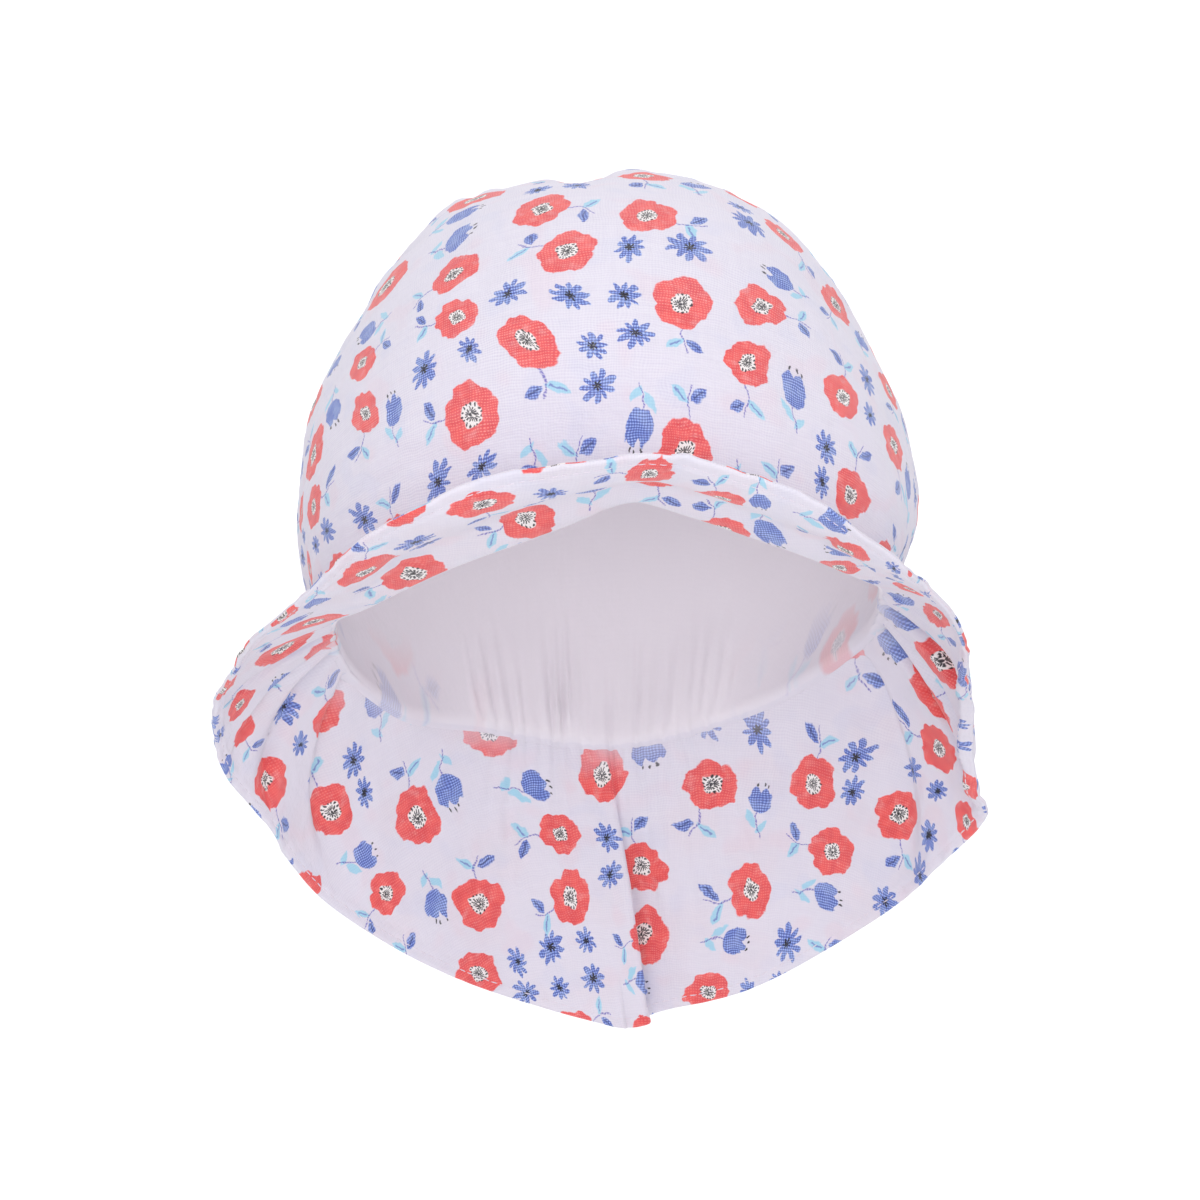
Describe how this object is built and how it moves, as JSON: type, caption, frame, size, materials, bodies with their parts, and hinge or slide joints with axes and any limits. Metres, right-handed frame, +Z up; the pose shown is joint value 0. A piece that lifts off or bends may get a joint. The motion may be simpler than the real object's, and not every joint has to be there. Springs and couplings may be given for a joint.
{
  "type": "sun hat",
  "caption": "Baby's muslin sun hat: a rounded crown of two printed panels, a plain lining, and a soft brim that widens into a neck flap.",
  "frame": {"origin": "centre of the head opening, in the middle of the rim where the brim meets the crown", "axes": "+Z up as worn, -Y towards the front of the hat, +X to the right for someone who looks at its front"},
  "size_m": [0.1925, 0.2114, 0.2146],
  "materials": {
    "crown_cloth": "matte woven muslin with a small floral print",
    "lining_cloth": "matte plain woven muslin",
    "brim_cloth": "matte woven muslin with a small floral print"
  },
  "bodies": {
    "root": {"crown_front": "crown_cloth", "crown_back": "crown_cloth", "crown_lining": "lining_cloth", "brim": "brim_cloth"}
  },
  "joints": []
}
